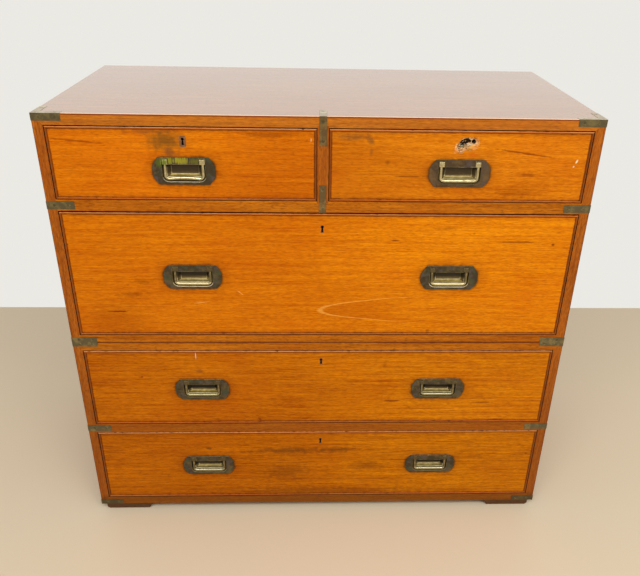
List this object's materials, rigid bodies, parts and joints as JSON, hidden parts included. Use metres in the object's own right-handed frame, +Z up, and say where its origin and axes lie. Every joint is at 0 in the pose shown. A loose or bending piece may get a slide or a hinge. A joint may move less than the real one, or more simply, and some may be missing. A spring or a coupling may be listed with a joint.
{
  "type": "campaign chest of drawers",
  "caption": "Brass-bound wooden campaign chest in an upper and a lower case, with cock-beaded drawers, flush drop handles, drawer locks and low block feet.",
  "frame": {"origin": "on the floor, under the middle of the case", "axes": "+X to the right seen from the front, +Z up, the drawers open towards -Y"},
  "size_m": [0.9906, 0.4673, 0.9033],
  "materials": {
    "case_wood": "polished mahogany-coloured hardwood",
    "drawer_front_wood": "polished golden hardwood",
    "plain_wood": "plain, unpolished",
    "aged_brass": "aged, dark olive brown",
    "bright_brass": "worn bright by hands",
    "lock_steel": "dull, lightly rusted",
    "lock_brass": "dull"
  },
  "bodies": {
    "lower_case": {"lower_left_side": "case_wood", "lower_right_side": "case_wood", "lower_top_board": "case_wood", "lower_bottom_board": "case_wood", "lower_back_boards": "plain_wood", "lower_drawer_rail": "case_wood", "lower_runners_and_stops": "plain_wood", "lower_corner_brasses": "aged_brass", "lower_brass_screws": "aged_brass", "locating_pegs": "plain_wood", "block_feet": "case_wood"},
    "upper_case": {"top_board": "case_wood", "upper_left_side": "case_wood", "upper_right_side": "case_wood", "upper_bottom_board": "case_wood", "upper_back_boards": "plain_wood", "upper_drawer_rail": "case_wood", "drawer_divider": "case_wood", "upper_runners_and_stops": "plain_wood", "upper_corner_brasses": "aged_brass", "divider_straps": "aged_brass", "upper_brass_screws": "aged_brass"},
    "top_left_drawer": {"top_left_front": "drawer_front_wood", "top_left_cock_beads": "drawer_front_wood", "top_left_box": "plain_wood", "top_left_lock": "lock_steel", "top_left_handle_plate": "aged_brass"},
    "top_left_lock_bolt": {"top_left_lock_bolt": "lock_brass"},
    "top_left_bail": {"top_left_bail": "bright_brass"},
    "top_right_drawer": {"top_right_front": "drawer_front_wood", "top_right_cock_beads": "drawer_front_wood", "top_right_box": "plain_wood", "top_right_lock": "lock_steel", "top_right_handle_plate": "aged_brass"},
    "top_right_lock_bolt": {"top_right_lock_bolt": "lock_brass"},
    "top_right_bail": {"top_right_bail": "bright_brass"},
    "deep_drawer": {"deep_front": "drawer_front_wood", "deep_cock_beads": "drawer_front_wood", "deep_box": "plain_wood", "deep_lock": "lock_steel", "deep_handle_plates": "aged_brass"},
    "deep_lock_bolt": {"deep_lock_bolt": "lock_brass"},
    "deep_left_bail": {"deep_left_bail": "bright_brass"},
    "deep_right_bail": {"deep_right_bail": "bright_brass"},
    "third_drawer": {"third_front": "drawer_front_wood", "third_cock_beads": "drawer_front_wood", "third_box": "plain_wood", "third_lock": "lock_steel", "third_handle_plates": "aged_brass"},
    "third_lock_bolt": {"third_lock_bolt": "lock_brass"},
    "third_left_bail": {"third_left_bail": "bright_brass"},
    "third_right_bail": {"third_right_bail": "bright_brass"},
    "bottom_drawer": {"bottom_front": "drawer_front_wood", "bottom_cock_beads": "drawer_front_wood", "bottom_box": "plain_wood", "bottom_lock": "lock_steel", "bottom_handle_plates": "aged_brass"},
    "bottom_lock_bolt": {"bottom_lock_bolt": "lock_brass"},
    "bottom_left_bail": {"bottom_left_bail": "bright_brass"},
    "bottom_right_bail": {"bottom_right_bail": "bright_brass"}
  },
  "joints": [
    {"name": "upper_case_lift", "type": "slide", "parent": "lower_case", "child": "upper_case", "axis": [0, 0, 1], "range_m": [0, 0.1]},
    {"name": "top_left_drawer_slide", "type": "slide", "parent": "upper_case", "child": "top_left_drawer", "axis": [0, -1, 0], "range_m": [0, 0.36]},
    {"name": "top_left_bolt_slide", "type": "slide", "parent": "top_left_drawer", "child": "top_left_lock_bolt", "axis": [0, 0, 1], "range_m": [0, 0.007]},
    {"name": "top_left_bail_hinge", "type": "hinge", "parent": "top_left_drawer", "child": "top_left_bail", "pos_m": [-0.2452, -0.2296, 0.8193], "axis": [-1, 0, 0], "range_deg": [0, 90]},
    {"name": "top_right_drawer_slide", "type": "slide", "parent": "upper_case", "child": "top_right_drawer", "axis": [0, -1, 0], "range_m": [0, 0.36]},
    {"name": "top_right_bolt_slide", "type": "slide", "parent": "top_right_drawer", "child": "top_right_lock_bolt", "axis": [0, 0, 1], "range_m": [0, 0.007]},
    {"name": "top_right_bail_hinge", "type": "hinge", "parent": "top_right_drawer", "child": "top_right_bail", "pos_m": [0.2452, -0.2296, 0.8193], "axis": [-1, 0, 0], "range_deg": [0, 90]},
    {"name": "deep_drawer_slide", "type": "slide", "parent": "upper_case", "child": "deep_drawer", "axis": [0, -1, 0], "range_m": [0, 0.36]},
    {"name": "deep_bolt_slide", "type": "slide", "parent": "deep_drawer", "child": "deep_lock_bolt", "axis": [0, 0, 1], "range_m": [0, 0.007]},
    {"name": "deep_left_bail_hinge", "type": "hinge", "parent": "deep_drawer", "child": "deep_left_bail", "pos_m": [-0.246, -0.2296, 0.6104], "axis": [-1, 0, 0], "range_deg": [0, 90]},
    {"name": "deep_right_bail_hinge", "type": "hinge", "parent": "deep_drawer", "child": "deep_right_bail", "pos_m": [0.246, -0.2296, 0.6104], "axis": [-1, 0, 0], "range_deg": [0, 90]},
    {"name": "third_drawer_slide", "type": "slide", "parent": "lower_case", "child": "third_drawer", "axis": [0, -1, 0], "range_m": [0, 0.36]},
    {"name": "third_bolt_slide", "type": "slide", "parent": "third_drawer", "child": "third_lock_bolt", "axis": [0, 0, 1], "range_m": [0, 0.007]},
    {"name": "third_left_bail_hinge", "type": "hinge", "parent": "third_drawer", "child": "third_left_bail", "pos_m": [-0.246, -0.2296, 0.3494], "axis": [-1, 0, 0], "range_deg": [0, 90]},
    {"name": "third_right_bail_hinge", "type": "hinge", "parent": "third_drawer", "child": "third_right_bail", "pos_m": [0.246, -0.2296, 0.3494], "axis": [-1, 0, 0], "range_deg": [0, 90]},
    {"name": "bottom_drawer_slide", "type": "slide", "parent": "lower_case", "child": "bottom_drawer", "axis": [0, -1, 0], "range_m": [0, 0.36]},
    {"name": "bottom_bolt_slide", "type": "slide", "parent": "bottom_drawer", "child": "bottom_lock_bolt", "axis": [0, 0, 1], "range_m": [0, 0.007]},
    {"name": "bottom_left_bail_hinge", "type": "hinge", "parent": "bottom_drawer", "child": "bottom_left_bail", "pos_m": [-0.246, -0.2296, 0.1446], "axis": [-1, 0, 0], "range_deg": [0, 90]},
    {"name": "bottom_right_bail_hinge", "type": "hinge", "parent": "bottom_drawer", "child": "bottom_right_bail", "pos_m": [0.246, -0.2296, 0.1446], "axis": [-1, 0, 0], "range_deg": [0, 90]}
  ]
}
